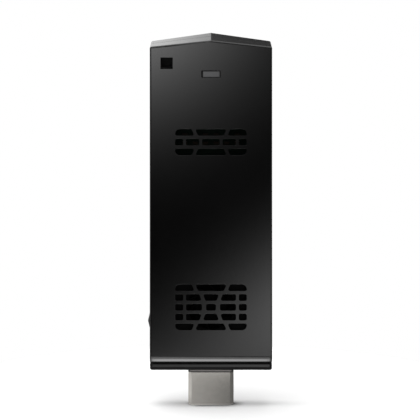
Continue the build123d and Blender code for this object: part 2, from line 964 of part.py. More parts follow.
with BuildPart() as card_contacts:
    for place in range(card_contact_count):
        across = (place - (card_contact_count - 1) / 2) * card_contact_pitch
        block(
            about((card_back + card_mouth) / 2, card_contact_length),
            (card_base_rear, card_base_rear + card_contact_thickness),
            about(card_z + across, card_contact_width),
        )

save(card_contacts, "card_contacts")

# Fan housing: a square box with a round chamber that opens towards the top
fan_chamber_top = fan_z + fan_size / 2 + overrun
with BuildPart() as fan_housing:
    block(about(0, fan_size), (fan_lid_rear, board_front), about(fan_z, fan_size))
    with BuildSketch(facing(board_front)):
        with Locations(*fan_ears):
            Circle(fan_ear_radius)
        for ear_x, ear_z in fan_ears:
            with Locations((ear_x - fan_ear_reach * ear_x / abs(ear_x), ear_z)):
                Rectangle(fan_ear_reach * 2, fan_ear_radius * 2)
    extrude(amount=fan_ear_thickness)
    with BuildSketch(facing(fan_floor_front)):
        with Locations((0, fan_z)):
            Circle(fan_chamber_radius)
        with Locations((fan_chamber_radius / 2, (fan_z + fan_chamber_top) / 2)):
            Rectangle(fan_chamber_radius, fan_chamber_top - fan_z)
    extrude(amount=fan_floor_front - fan_lid_rear + overrun, mode=Mode.SUBTRACT)
    with BuildSketch(facing(board_front)):
        with Locations(*fan_ears):
            Circle(fan_screw_radius + fan_screw_gap)
    extrude(amount=fan_ear_thickness, mode=Mode.SUBTRACT)

save(fan_housing, "fan_housing")

with BuildPart() as fan_cover:
    with BuildSketch(facing(fan_lid_rear)):
        with Locations((0, fan_z)):
            Rectangle(fan_size, fan_size)
            Circle(fan_intake_radius, mode=Mode.SUBTRACT)
    extrude(amount=fan_lid)

save(fan_cover, "fan_cover")

ear_front = board_front - fan_ear_thickness
with BuildPart() as fan_screws:
    with BuildSketch(facing(ear_front)):
        with Locations(*fan_ears):
            Circle(fan_screw_head_radius)
    extrude(amount=fan_screw_head_height)
    with BuildSketch(facing(board_rear)):
        with Locations(*fan_ears):
            Circle(fan_screw_radius)
    extrude(amount=board_rear - ear_front)

save(fan_screws, "fan_screws")

# Rotor: a hub cup with leaning blades, a magnet ring inside the hub and a shaft
rotor_front = fan_lid_rear + rotor_end_gap
rotor_rear = fan_floor_front - rotor_end_gap
hub_inner_radius = hub_radius - hub_wall
blade_span = blade_reach - hub_radius + hub_wall
with BuildPart() as fan_rotor:
    with BuildSketch(facing(rotor_rear)) as blades:
        with Locations((0, fan_z)):
            with PolarLocations(hub_radius + blade_span / 2, blade_count):
                Rectangle(blade_span + hub_radius, blade_thickness, rotation=blade_lean)
            Circle(blade_reach, mode=Mode.INTERSECT)
            Circle(hub_radius)
    extrude(amount=rotor_rear - rotor_front)
    with BuildSketch(facing(rotor_rear)):
        with Locations((0, fan_z)):
            Circle(hub_inner_radius)
    extrude(amount=rotor_rear - rotor_front - hub_wall, mode=Mode.SUBTRACT)

save(fan_rotor, "fan_rotor")

hub_ceiling = rotor_front + hub_wall
magnet_radius = hub_inner_radius - magnet_gap
magnet_inner_radius = magnet_radius - magnet_wall
with BuildPart() as fan_magnet:
    with BuildSketch(facing(rotor_rear - magnet_inset)):
        with Locations((0, fan_z)):
            Circle(magnet_radius)
            Circle(magnet_inner_radius, mode=Mode.SUBTRACT)
    extrude(amount=rotor_rear - magnet_inset - hub_ceiling)

save(fan_magnet, "fan_magnet")

with BuildPart() as fan_shaft:
    with BuildSketch(facing(fan_floor_front - shaft_end_gap)):
        with Locations((0, fan_z)):
            Circle(shaft_radius)
    extrude(amount=fan_floor_front - shaft_end_gap - hub_ceiling)

save(fan_shaft, "fan_shaft")

with BuildPart() as fan_bearing:
    with BuildSketch(facing(fan_floor_front)):
        with Locations((0, fan_z)):
            Circle(bearing_radius)
            Circle(shaft_radius + running_gap, mode=Mode.SUBTRACT)
    extrude(amount=fan_floor_front - hub_ceiling - stator_inset)

save(fan_bearing, "fan_bearing")

stator_radius = magnet_inner_radius - stator_gap
with BuildPart() as fan_stator:
    with BuildSketch(facing(fan_floor_front)):
        with Locations((0, fan_z)):
            Circle(stator_radius)
            Rectangle(stator_slot, stator_radius * 2, mode=Mode.SUBTRACT)
            Rectangle(stator_radius * 2, stator_slot, mode=Mode.SUBTRACT)
            Circle((bearing_radius + stator_radius) / 2)
            Circle(bearing_radius + magnet_gap, mode=Mode.SUBTRACT)
    extrude(amount=fan_floor_front - hub_ceiling - stator_inset)

save(fan_stator, "fan_stator")


def wire(points, radius, bend):
    """Round wire along straight runs joined by arcs."""
    with BuildLine() as route:
        FilletPolyline(*points, radius=bend)
    with BuildSketch(Plane(origin=route.line @ 0, z_dir=route.line % 0)) as section:
        Circle(radius)
    sweep(section.sketch, path=route.line)


# Fan lead: two wires from the housing's side to a connector on the board
lead_start_z = fan_z + lead_exit_above_centre
lead_x = fan_size / 2 + lead_clearance
lead_end_z = lead_start_z + lead_length
with BuildPart() as fan_lead:
    for layer in (0, 1):
        lead_y = board_front - lead_from_board - lead_spacing * layer
        lead_corner = (lead_x, lead_y, lead_start_z)
        lead_route = [(fan_size / 2, lead_y, lead_start_z), lead_corner, (lead_x, lead_y, lead_end_z)]
        wire(lead_route, lead_radius, lead_bend)

save(fan_lead, "fan_lead")

with BuildPart() as fan_connector:
    block(
        about(lead_x, connector_width), (board_front - connector_height, board_front),
        (lead_end_z, lead_end_z + connector_length),
    )

save(fan_connector, "fan_connector")

# Processor with its die, a thermal pad and a finned spreader on two feet
with BuildPart() as processor:
    block(
        about(processor_off_centre, processor_size), (board_front - processor_thickness, board_front),
        about(processor_z, processor_size),
    )

save(processor, "processor")

die_rear = board_front - processor_thickness
with BuildPart() as processor_die:
    block(
        about(processor_off_centre, die_size), (die_rear - die_thickness, die_rear),
        about(processor_z, die_size),
    )

save(processor_die, "processor_die")

with BuildPart() as thermal_pad:
    block(
        about(processor_off_centre, pad_size), (spreader_rear, spreader_rear + pad_thickness),
        about(processor_z, pad_size),
    )

save(thermal_pad, "thermal_pad")

with BuildPart() as heat_spreader:
    block(
        about(processor_off_centre, spreader_width), (spreader_front, spreader_rear),
        about(processor_z, spreader_length),
    )
    for place in range(fin_count):
        fin_x = processor_off_centre + (place - (fin_count - 1) / 2) * fin_pitch
        block(
            about(fin_x, fin_thickness), (front_inner + fin_front_gap, spreader_front),
            about(processor_z, spreader_length),
        )
    for foot_x, foot_z in spreader_feet:
        block(about(foot_x, foot_size), (spreader_front, board_front), about(foot_z, foot_size))
    with BuildSketch(facing(board_front)):
        with Locations(*spreader_feet):
            Circle(spreader_screw_radius + fan_screw_gap)
    extrude(amount=board_front - spreader_front, mode=Mode.SUBTRACT)

save(heat_spreader, "heat_spreader")

with BuildPart() as spreader_screws:
    with BuildSketch(facing(spreader_front)):
        with Locations(*spreader_feet):
            Circle(spreader_screw_head_radius)
    extrude(amount=spreader_screw_head_height)
    with BuildSketch(facing(board_rear)):
        with Locations(*spreader_feet):
            Circle(spreader_screw_radius)
    extrude(amount=board_rear - spreader_front)

save(spreader_screws, "spreader_screws")

# Main board, notched for the USB socket and drilled for every screw
with BuildPart() as main_board:
    with BuildSketch(facing(board_rear)) as board_outline:
        with Locations((0, (board_bottom + board_top) / 2)):
            RectangleRounded(board_half_width * 2, board_top - board_bottom, board_round)
        notch_end = usb_back + usb_notch_gap
        with Locations(((notch_end - board_half_width - overrun) / 2, usb_z)):
            Rectangle(
                notch_end + board_half_width + overrun, usb_width + usb_notch_gap * 2, mode=Mode.SUBTRACT
            )
        with Locations(*screw_places):
            Circle(screw_radius + screw_hole_gap, mode=Mode.SUBTRACT)
        with Locations(*fan_ears):
            Circle(fan_screw_radius + fan_screw_gap, mode=Mode.SUBTRACT)
        with Locations(*spreader_feet):
            Circle(spreader_screw_radius + fan_screw_gap, mode=Mode.SUBTRACT)
    extrude(amount=board_thickness)

save(main_board, "main_board")

# Memory chips under a can, and the storage chip, all on the board's rear
with BuildPart() as memory_chips:
    with Locations((processor_off_centre, board_rear + memory_thickness / 2, memory_z)):
        for column in about(0, memory_column_pitch):
            for row in about(0, memory_row_pitch):
                with Locations((column, 0, row)):
                    Box(memory_width, memory_thickness, memory_length)

save(memory_chips, "memory_chips")

with BuildPart() as shield_can:
    block(
        about(processor_off_centre, can_width), (board_rear, board_rear + can_height),
        about(memory_z, can_length),
    )
    block(
        about(processor_off_centre, can_width - can_sheet * 2),
        (board_rear, board_rear + can_height - can_sheet), about(memory_z, can_length - can_sheet * 2),
        mode=Mode.SUBTRACT,
    )

save(shield_can, "shield_can")

storage_z = cover_edge + storage_above_edge
with BuildPart() as storage_chip:
    block(
        about(-storage_off_centre, storage_width), (board_rear, board_rear + storage_thickness),
        about(storage_z, storage_length),
    )

save(storage_chip, "storage_chip")

with BuildPart() as regulator:
    block(
        about(regulator_off_centre, regulator_size), (board_rear, board_rear + regulator_thickness),
        about(storage_z, regulator_size),
    )

save(regulator, "regulator")

with BuildPart() as coils:
    with BuildSketch(facing(board_rear + coil_height)):
        with Locations((0, board_top - coil_below_board_top)):
            with GridLocations(coil_pitch, coil_pitch, coil_count, 1):
                RectangleRounded(coil_size, coil_size, coil_round)
    extrude(amount=coil_height)

save(coils, "coils")

# Small parts on the board's front
with BuildPart() as chip_capacitors:
    with BuildSketch(facing(board_front)):
        with Locations((0, upper_vent_z)):
            with GridLocations(
                chip_capacitor_pitch, chip_capacitor_row_pitch, chip_capacitor_columns, chip_capacitor_rows
            ):
                Rectangle(chip_capacitor_length, chip_capacitor_width)
    extrude(amount=chip_capacitor_height)

save(chip_capacitors, "chip_capacitors")

with BuildPart() as resistors:
    with BuildSketch(facing(board_front)):
        with Locations((0, fan_z + fan_size / 2 + resistor_above_fan)):
            with GridLocations(resistor_pitch, resistor_pitch, resistor_count, 1):
                Rectangle(resistor_width, resistor_length)
    extrude(amount=resistor_height)

save(resistors, "resistors")

with BuildPart() as crystal:
    block(
        about(-crystal_off_centre, crystal_width), (board_front - crystal_height, board_front),
        about(cover_edge + crystal_above_edge, crystal_length),
    )

save(crystal, "crystal")

# Radio module under its own can
radio_z = board_top - radio_below_board_top
radio_front = board_front - radio_thickness
with BuildPart() as radio_module:
    block(about(-radio_off_centre, radio_size), (radio_front, board_front), about(radio_z, radio_size))

save(radio_module, "radio_module")

radio_can_size = radio_size - radio_can_margin * 2
with BuildPart() as radio_can:
    block(
        about(-radio_off_centre, radio_can_size), (radio_front - radio_can_height, radio_front),
        about(radio_z, radio_can_size),
    )
    block(
        about(-radio_off_centre, radio_can_size - radio_can_sheet * 2),
        (radio_front - radio_can_height + radio_can_sheet, radio_front),
        about(radio_z, radio_can_size - radio_can_sheet * 2), mode=Mode.SUBTRACT,
    )

save(radio_can, "radio_can")

# Antennas folded from sheet, each open at its lower side, with a lead from a plug by the radio
antenna_z = board_top - antenna_below_board_top - antenna_width / 2


def antenna(middle_x):
    """A folded strip: a foot on the board, a riser and a flat top."""
    top = board_front - antenna_height
    span = about(middle_x, antenna_length)
    block(span, (board_front - antenna_sheet, board_front), about(antenna_z, antenna_width))
    block(span, (top, top + antenna_sheet), about(antenna_z, antenna_width))
    upper = antenna_z + antenna_width / 2
    block(span, (top, board_front), (upper - antenna_sheet, upper))


with BuildPart() as left_antenna:
    antenna(-left_antenna_off_centre)

save(left_antenna, "left_antenna")

with BuildPart() as right_antenna:
    antenna(right_antenna_off_centre)

save(right_antenna, "right_antenna")

plug_block_top = plug_block_z + plug_block_size / 2
coax_y = board_front - plug_block_height / 2
with BuildPart() as antenna_plugs:
    for plug_x in (inner_plug_off_centre, outer_plug_off_centre):
        block(
            about(plug_x, plug_block_size), (board_front - plug_block_height, board_front),
            about(plug_block_z, plug_block_size),
        )

save(antenna_plugs, "antenna_plugs")

with BuildPart() as antenna_leads:
    left_end = antenna_length / 2 - left_antenna_off_centre
    wire(
        [
            (inner_plug_off_centre, coax_y, plug_block_top),
            (inner_plug_off_centre, coax_y, antenna_z),
            (left_end, coax_y, antenna_z),
        ],
        coax_radius, coax_bend,
    )
    with BuildSketch(Plane.XY.offset(plug_block_top)):
        with Locations((outer_plug_off_centre, coax_y)):
            Circle(coax_radius)
    extrude(amount=antenna_z - antenna_width / 2 - plug_block_top)

save(antenna_leads, "antenna_leads")
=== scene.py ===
import math

import bmesh
import bpy
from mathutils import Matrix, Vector


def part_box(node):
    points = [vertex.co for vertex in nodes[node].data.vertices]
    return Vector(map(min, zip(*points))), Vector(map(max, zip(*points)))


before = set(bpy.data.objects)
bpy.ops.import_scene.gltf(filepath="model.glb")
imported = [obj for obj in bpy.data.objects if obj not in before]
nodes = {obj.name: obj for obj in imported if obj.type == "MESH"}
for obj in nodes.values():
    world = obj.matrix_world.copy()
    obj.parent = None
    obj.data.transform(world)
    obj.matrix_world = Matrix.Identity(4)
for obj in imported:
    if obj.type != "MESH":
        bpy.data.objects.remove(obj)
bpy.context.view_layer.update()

MM = 0.001

# The camera: its tilt above level, the width that it sees, its middle and its distance.
VIEW_TILT = math.radians(11.4)
VIEW_WIDTH = 0.1288
VIEW_MIDDLE = Vector((-0.295, 0, 60.58)) * MM
VIEW_DISTANCE = 0.6

# The floor: its colours to the camera and to soft light, its lamp, and a painted contact shadow beside the
# plug.
FLOOR_RADIUS = 90 * MM
FLOOR_COLOUR = 0.72
FLOOR_BOUNCE = 0.36
FLOOR_LAMP_STRENGTH = 0.778
FLOOR_LAMP_SIDE = math.radians(12)
FLOOR_LAMP_TILT = math.radians(2)
FLOOR_LAMP_SPREAD = math.radians(50)
FLOOR_LAMP_HEIGHT = 300
CONTACT_SHADOW_REACH = 4 * MM
CONTACT_SHADOW_DEPTH = 2.0
CONTACT_SHADOW_START = -8 * MM
CONTACT_SHADOW_FULL = -3.5 * MM

# What gloss mirrors in the floor: it glows from the left to the right, out to a soft edge.
GLOW_LEFT = 0.88
GLOW_RIGHT = 0.2
GLOW_LEFT_END = -20 * MM
GLOW_RIGHT_END = 8 * MM
GLOW_FULL = 60 * MM
GLOW_EDGE = 82 * MM

# What gloss mirrors in the room: its levels all round.
SOFT_LIGHT = 0.95
FRONT_LEVEL = 0.04
SIDE_LEVEL = 0.45
BACK_LEVEL = 0.9
TOP_LEVEL = 1.8
LEFT_LEVEL = 0.75
RIGHT_LEVEL = 0.04

# Cards stand upright across the view, in millimetres: depth, bottom and top.
CARD_HALF_WIDTH = 60
CARD_FADE_START = 26 * MM
CARD_FADE_END = 44 * MM
FRONT_CARD = (-60, 0.5, 114)
BACK_CARD = (70, 0.5, 150)

# Each glow is its middle across and up, its two widths, its turn in degrees and its strength.
FRONT_GLOWS = [
    (-33.55, 130.73, 24.02, 24.02, 0, 8.109),
    (112.61, 64.47, 58.03, 13.27, 29.45, 10.744),
    (0, 1.8, 60, 1.2, 0, 0.5),
]
BACK_GLOWS = [(-28, 128, 14, 14, 0, 0.9), (-12, 50, 25, 25, 0, 1.5)]

# Lamps under the front's bottom bevel: place, aim, width, height and glow.
EDGE_LAMPS = {
    "edge_lamp": ((0, -8, 1), (0, -8, 14), 36, 9, 5.2),
    "edge_spread_lamp": ((0, -20, 1), (0, -20, 14), 40, 26, 2.0),
}

EDGE_ROUND = 0.08 * MM
CASE_BASE = 0.00101

FINISHES = {
    "case_black": ("front_cover", "rear_cover"),
    "band_black": ("end_band",),
    "window_grey": ("light_pipe",),
    "button_black": ("power_button",),
    "plug_steel": ("plug_shell",),
    "root_steel": ("plug_root",),
    "socket_steel": ("card_shell", "power_shell", "usb_shell"),
    "can_steel": ("left_antenna", "radio_can", "right_antenna", "shield_can"),
    "contact_gold": ("card_contacts", "plug_contacts", "power_contacts", "usb_contacts"),
    "insulator_black": ("card_base", "plug_insulator", "power_tongue", "usb_tongue"),
    "switch_black": ("switch_body",),
    "plunger_white": ("switch_plunger",),
    "board_green": ("main_board", "radio_module"),
    "chip_black": ("memory_chips", "processor", "regulator", "storage_chip"),
    "die_grey": ("processor_die",),
    "pad_grey": ("thermal_pad",),
    "spreader_aluminium": ("heat_spreader",),
    "fan_black": ("fan_housing", "fan_rotor"),
    "fan_cover_steel": ("fan_cover",),
    "magnet_dark": ("fan_magnet",),
    "shaft_steel": ("fan_shaft",),
    "bearing_bronze": ("fan_bearing",),
    "winding_copper": ("fan_stator",),
    "lead_black": ("antenna_leads", "fan_lead"),
    "connector_white": ("fan_connector",),
    "coax_plug_brass": ("antenna_plugs",),
    "screw_black": ("cover_screws", "fan_screws", "spreader_screws"),
    "coil_grey": ("coils",),
    "capacitor_tan": ("chip_capacitors",),
    "resistor_black": ("resistors",),
    "crystal_metal": ("crystal",),
    "led_white": ("power_led",),
}


# The camera looks level at the front from a little above.
def make_camera():
    back = Vector((0, -math.cos(VIEW_TILT), math.sin(VIEW_TILT)))
    data = bpy.data.cameras.new("camera")
    data.type = "ORTHO"
    data.ortho_scale = VIEW_WIDTH
    data.clip_start = 0.01
    data.clip_end = 10
    camera = bpy.data.objects.new("camera", data)
    camera.location = VIEW_MIDDLE + back * VIEW_DISTANCE
    camera.rotation_mode = "QUATERNION"
    camera.rotation_quaternion = (-back).to_track_quat("-Z", "Y")
    bpy.context.scene.collection.objects.link(camera)
    bpy.context.scene.camera = camera


# Node helpers shared by all the materials.
class Paint:
    def __init__(self, name):
        self.material = bpy.data.materials.new("finish_" + name)
        self.material.use_nodes = True
        self.tree = self.material.node_tree
        self.shader = self.tree.nodes["Principled BSDF"]
        self.place = self.tree.nodes.new("ShaderNodeTexCoord").outputs["Object"]

    def node(self, kind, **settings):
        made = self.tree.nodes.new(kind)
        for key, value in settings.items():
            setattr(made, key, value)
        return made

    def join(self, source, target):
        self.tree.links.new(source, target)

    def stretched(self, stretch):
        mapping = self.node("ShaderNodeMapping")
        mapping.inputs["Scale"].default_value = stretch
        self.join(self.place, mapping.inputs["Vector"])
        return mapping.outputs["Vector"]

    def noise(self, size, detail=2.0, stretch=(1, 1, 1)):
        made = self.node("ShaderNodeTexNoise")
        made.inputs["Scale"].default_value = 1 / size
        made.inputs["Detail"].default_value = detail
        self.join(self.stretched(stretch), made.inputs["Vector"])
        return made.outputs["Fac"]

    def ramp(self, value, stops):
        made = self.node("ShaderNodeValToRGB")
        bar = made.color_ramp
        while len(bar.elements) < len(stops):
            bar.elements.new(0.5)
        for element, (spot, colour) in zip(bar.elements, stops):
            element.position = spot
            element.color = (*colour, 1)
        self.join(value, made.inputs["Fac"])
        return made.outputs["Color"]

    def span(self, value, low, high):
        made = self.node("ShaderNodeMapRange")
        made.inputs["To Min"].default_value = low
        made.inputs["To Max"].default_value = high
        self.join(value, made.inputs["Value"])
        return made.outputs["Result"]

    def within(self, axis, low, high):
        split = self.node("ShaderNodeSeparateXYZ")
        self.join(self.place, split.inputs["Vector"])
        above = self.node("ShaderNodeMath", operation="GREATER_THAN")
        below = self.node("ShaderNodeMath", operation="LESS_THAN")
        for test, limit in ((above, low), (below, high)):
            self.join(split.outputs[axis], test.inputs[0])
            test.inputs[1].default_value = limit * MM
        return self.product(above.outputs[0], below.outputs[0])

    def product(self, first, *others):
        for other in others:
            made = self.node("ShaderNodeMath", operation="MULTIPLY")
            self.join(first, made.inputs[0])
            self.join(other, made.inputs[1])
            first = made.outputs[0]
        return first

    def mixed(self, mask, socket, kind, value):
        target = self.shader.inputs[socket]
        made = self.node("ShaderNodeMix", data_type=kind)
        sort = {"RGBA": "RGBA", "FLOAT": "VALUE"}[kind]
        first, second = [s for s in made.inputs if s.type == sort and s.name in ("A", "B")]
        self.join(mask, made.inputs[0])
        self.join(target.links[0].from_socket, first)
        second.default_value = value
        self.join(next(s for s in made.outputs if s.type == sort), target)

    def patch(self, patches):
        for spans, colour, roughness in patches:
            mask = self.product(*[self.within(*span) for span in spans])
            self.mixed(mask, "Base Color", "RGBA", (*colour, 1))
            self.mixed(mask, "Roughness", "FLOAT", roughness)

    def bumps(self, value, height):
        soft = self.node("ShaderNodeBevel", samples=4)
        soft.inputs["Radius"].default_value = EDGE_ROUND
        bump = self.node("ShaderNodeBump")
        bump.inputs["Distance"].default_value = height
        self.join(value, bump.inputs["Height"])
        self.join(soft.outputs["Normal"], bump.inputs["Normal"])
        self.join(bump.outputs["Normal"], self.shader.inputs["Normal"])


def set_sockets(paint, **values):
    for key, value in values.items():
        paint.shader.inputs[key.replace("_", " ")].default_value = value


def shades(colour, spread):
    return [tuple(c * (1 - spread) for c in colour), tuple(min(1, c * (1 + spread)) for c in colour)]


# Moulded plastic: a spark-eroded grain, faint flow marks and uneven gloss.
def plastic(name, colour, spread=0.12, gloss=(0.3, 0.4), grain=0.09, height=0.004, specular=0.5, patches=()):
    paint = Paint(name)
    dark, light = shades(colour, spread)
    flow = paint.noise(5 * MM, 3, (1, 1, 0.4))
    paint.join(paint.ramp(flow, [(0.35, dark), (0.65, light)]), paint.shader.inputs["Base Color"])
    paint.join(paint.span(paint.noise(1.4 * MM, 4), *gloss), paint.shader.inputs["Roughness"])
    paint.patch(patches)
    paint.bumps(paint.noise(grain * MM, 2), height * MM)
    set_sockets(paint, Specular_IOR_Level=specular)
    return paint.material


# Sheet metal: rolling lines along one direction, faint stains and rubbed gloss.
def metal(name, colour, gloss=(0.22, 0.36), along=(1, 1, 1), line=0.05, height=0.002, spread=0.08, patches=()):
    paint = Paint(name)
    dark, light = shades(colour, spread)
    stain = paint.noise(1.8 * MM, 4)
    lines = paint.noise(line * MM, 3, along)
    paint.join(paint.ramp(stain, [(0.3, dark), (0.7, light)]), paint.shader.inputs["Base Color"])
    paint.join(paint.span(lines, *gloss), paint.shader.inputs["Roughness"])
    paint.patch(patches)
    paint.bumps(lines, height * MM)
    set_sockets(paint, Metallic=1.0)
    return paint.material


# A circuit board: solder mask over copper tracks.
def board(name, mask, track):
    paint = Paint(name)
    bricks = paint.node("ShaderNodeTexBrick")
    bricks.inputs["Scale"].default_value = 1 / (2.4 * MM)
    bricks.inputs["Mortar Size"].default_value = 0.06
    bricks.inputs["Color1"].default_value = (*mask, 1)
    bricks.inputs["Color2"].default_value = (*(c * 0.86 for c in mask), 1)
    bricks.inputs["Mortar"].default_value = (*track, 1)
    turned = paint.node("ShaderNodeMapping")
    turned.inputs["Rotation"].default_value = (math.radians(90), 0, 0)
    paint.join(paint.place, turned.inputs["Vector"])
    paint.join(turned.outputs["Vector"], bricks.inputs["Vector"])
    paint.join(bricks.outputs["Color"], paint.shader.inputs["Base Color"])
    paint.join(paint.span(paint.noise(0.8 * MM, 3), 0.5, 0.62), paint.shader.inputs["Roughness"])
    paint.bumps(bricks.outputs["Fac"], 0.02 * MM)
    set_sockets(paint, Specular_IOR_Level=0.05)
    return paint.material


# Enamelled copper wire wound in close turns.
def winding(name, colour):
    paint = Paint(name)
    wave = paint.node("ShaderNodeTexWave")
    wave.inputs["Scale"].default_value = 1 / (0.5 * MM)
    wave.inputs["Distortion"].default_value = 0.6
    paint.join(paint.place, wave.inputs["Vector"])
    dark, light = shades(colour, 0.35)
    paint.join(paint.ramp(wave.outputs["Fac"], [(0.2, dark), (0.8, light)]), paint.shader.inputs["Base Color"])
    paint.join(paint.span(paint.noise(0.3 * MM, 2), 0.25, 0.4), paint.shader.inputs["Roughness"])
    paint.bumps(wave.outputs["Fac"], 0.05 * MM)
    set_sockets(paint, Metallic=1.0)
    return paint.material


def grey(level):
    return (level, level, level)


# A patch is its spans on the axes in millimetres, then the colour and the roughness that it has there.
# These patches are painted light and shade. Inside its skin the case is painted near-black as shade, as are the
# lowest strip of its bottom bevel and the groove and the foot of the band. The plug has a painted shade line at
# its root and a painted highlight round its tip, and the window a painted shade line on three sides.
# Near-black colours used as painted shade, one matt and one smooth.
MATT_SHADE = (grey(0.0005), 0.95)
SMOOTH = (grey(0.0005), 0.12)
CASE_SHADE_PATCHES = [
    # Painted shade: the inside of both covers is near-black, so the vents and holes read black.
    ((("X", -17.5, 17.5), ("Y", -4.9, 6.0), ("Z", 15.6, 111.3)), *MATT_SHADE),
    ((("X", -17.5, 17.5), ("Y", -6.0, -4.9), ("Z", 15.6, 111.3)), *SMOOTH),
    # Painted shade: the lowest strip of the covers' bottom bevel is dark, a shade line under the lip.
    ((("Z", 0.0, 14.32),), *MATT_SHADE),
]
# Painted shade: the band's groove under the covers and its foot are near-black.
BAND_SHADE_PATCHES = [((("Z", 13.27, 20.0),), *MATT_SHADE), ((("Z", 0.0, 12.5),), *MATT_SHADE)]
# Painted shade line at the plug's root, and a painted highlight round its tip.
PLUG_SHADE_AND_HIGHLIGHT_PATCHES = [((("Z", 10.22, 12.0),), grey(0.08), 0.6), ((("Z", -1.0, 0.36),), (0.8, 0.77, 0.72), 0.35)]
window_middle = sum(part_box("light_pipe"), Vector()) / 2 / MM
# Painted shade: a dark line on the window's left, right and top edges.
WINDOW_SHADE_PATCHES = [
    ((("X", -9.0, window_middle.x - 2.42),), *MATT_SHADE),
    ((("X", window_middle.x + 2.62, 9.0),), *MATT_SHADE),
    ((("Z", window_middle.z + 0.72, 120.0),), *MATT_SHADE),
]

MATERIALS = {
    "case_black": plastic(
        "case_black",
        grey(CASE_BASE),
        gloss=(0.17, 0.23),
        height=0.002,
        patches=CASE_SHADE_PATCHES,
    ),
    "band_black": plastic("band_black", grey(0.002), gloss=(0.14, 0.2), height=0.001, patches=BAND_SHADE_PATCHES),
    "window_grey": plastic(
        "window_grey", (0.06, 0.06, 0.062), gloss=(0.2, 0.28), height=0.001, patches=WINDOW_SHADE_PATCHES
    ),
    "button_black": plastic("button_black", grey(0.0015), gloss=(0.2, 0.28), height=0.002),
    "plug_steel": metal(
        "plug_steel",
        (0.53, 0.51, 0.475),
        gloss=(0.14, 0.22),
        along=(1, 1, 0.05),
        height=0.0006,
        spread=0.03,
        patches=PLUG_SHADE_AND_HIGHLIGHT_PATCHES,
    ),
    "root_steel": metal("root_steel", (0.3, 0.285, 0.275), gloss=(0.4, 0.5), along=(0.05, 1, 1)),
    "socket_steel": metal("socket_steel", (0.62, 0.61, 0.59), along=(0.08, 1, 1)),
    "can_steel": metal("can_steel", (0.66, 0.66, 0.64), gloss=(0.3, 0.42), along=(0.06, 1, 1)),
    "contact_gold": metal("contact_gold", (0.9, 0.66, 0.3), gloss=(0.18, 0.28), along=(1, 1, 0.1)),
    "insulator_black": plastic("insulator_black", grey(0.012), gloss=(0.4, 0.5)),
    "switch_black": plastic("switch_black", grey(0.016), gloss=(0.35, 0.45)),
    "plunger_white": plastic("plunger_white", (0.7, 0.69, 0.65), spread=0.05, gloss=(0.35, 0.45)),
    # Painted shade: the board is near-black green, far darker than real solder mask, so the vents read black.
    "board_green": board("board_green", (0.0008, 0.004, 0.0022), (0.0014, 0.008, 0.004)),
    "chip_black": plastic("chip_black", grey(0.003), gloss=(0.65, 0.8), grain=0.06, specular=0.05),
    "die_grey": metal("die_grey", (0.3, 0.31, 0.34), gloss=(0.12, 0.2)),
    "pad_grey": plastic("pad_grey", (0.3, 0.32, 0.36), gloss=(0.6, 0.75), grain=0.2, height=0.02),
    "spreader_aluminium": metal("spreader_aluminium", (0.78, 0.79, 0.8), gloss=(0.3, 0.42), along=(1, 1, 0.04)),
    "fan_black": plastic("fan_black", grey(0.002), gloss=(0.6, 0.75), specular=0.04),
    # Painted shade: the fan cover is near-black and not bare steel, so the lower vents read black.
    "fan_cover_steel": plastic("fan_cover_steel", grey(0.0025), gloss=(0.6, 0.75), grain=0.12, specular=0.04),
    "magnet_dark": metal("magnet_dark", (0.16, 0.16, 0.165), gloss=(0.4, 0.55)),
    "shaft_steel": metal("shaft_steel", (0.68, 0.68, 0.68), gloss=(0.12, 0.2), along=(1, 0.1, 1)),
    "bearing_bronze": metal("bearing_bronze", (0.6, 0.42, 0.22), gloss=(0.35, 0.5)),
    "winding_copper": winding("winding_copper", (0.7, 0.3, 0.14)),
    "lead_black": plastic("lead_black", grey(0.012), gloss=(0.4, 0.55), grain=0.15),
    "connector_white": plastic("connector_white", (0.66, 0.64, 0.58), spread=0.05, gloss=(0.4, 0.5)),
    "coax_plug_brass": metal("coax_plug_brass", (0.8, 0.6, 0.3), gloss=(0.2, 0.32)),
    "screw_black": metal("screw_black", (0.05, 0.05, 0.052), gloss=(0.3, 0.42), spread=0.2),
    # Painted shade: the coils and the tan capacitors are darkened to near-black with little specular, so the
    # vents read black.
    "coil_grey": plastic(
        "coil_grey", (0.008, 0.008, 0.009), gloss=(0.65, 0.8), grain=0.12, height=0.01, specular=0.05
    ),
    "capacitor_tan": plastic("capacitor_tan", (0.012, 0.008, 0.005), gloss=(0.5, 0.65), specular=0.05),
    "resistor_black": plastic("resistor_black", grey(0.003), gloss=(0.6, 0.75), specular=0.05),
    "crystal_metal": metal("crystal_metal", (0.72, 0.71, 0.68), gloss=(0.2, 0.3)),
    "led_white": plastic("led_white", (0.75, 0.74, 0.66), spread=0.04, gloss=(0.25, 0.35)),
}

for finish, names in FINISHES.items():
    for name in names:
        for spot in nodes[name].material_slots:
            spot.material = MATERIALS[finish]


# Node helpers for the floor, the room and the cards: a value may be a number or another node's socket.
def add_node(tree, kind, **settings):
    made = tree.nodes.new(kind)
    for key, value in settings.items():
        setattr(made, key, value)
    return made


def feed(tree, socket, value):
    if isinstance(value, bpy.types.NodeSocket):
        tree.links.new(value, socket)
    else:
        socket.default_value = value


def work_out(tree, operation, *values):
    made = add_node(tree, "ShaderNodeMath", operation=operation)
    for socket, value in zip(made.inputs, values):
        feed(tree, socket, value)
    return made.outputs["Value"]


def rescale(tree, value, start, end, low, high, kind="SMOOTHSTEP"):
    made = add_node(tree, "ShaderNodeMapRange", interpolation_type=kind)
    for name, number in (("From Min", start), ("From Max", end), ("To Min", low), ("To Max", high)):
        feed(tree, made.inputs[name], number)
    tree.links.new(value, made.inputs["Value"])
    return made.outputs["Result"]


def mix_shaders(tree, choice, first, second):
    made = add_node(tree, "ShaderNodeMixShader")
    for value, socket in zip((choice, first, second), made.inputs):
        tree.links.new(value, socket)
    return made.outputs["Shader"]


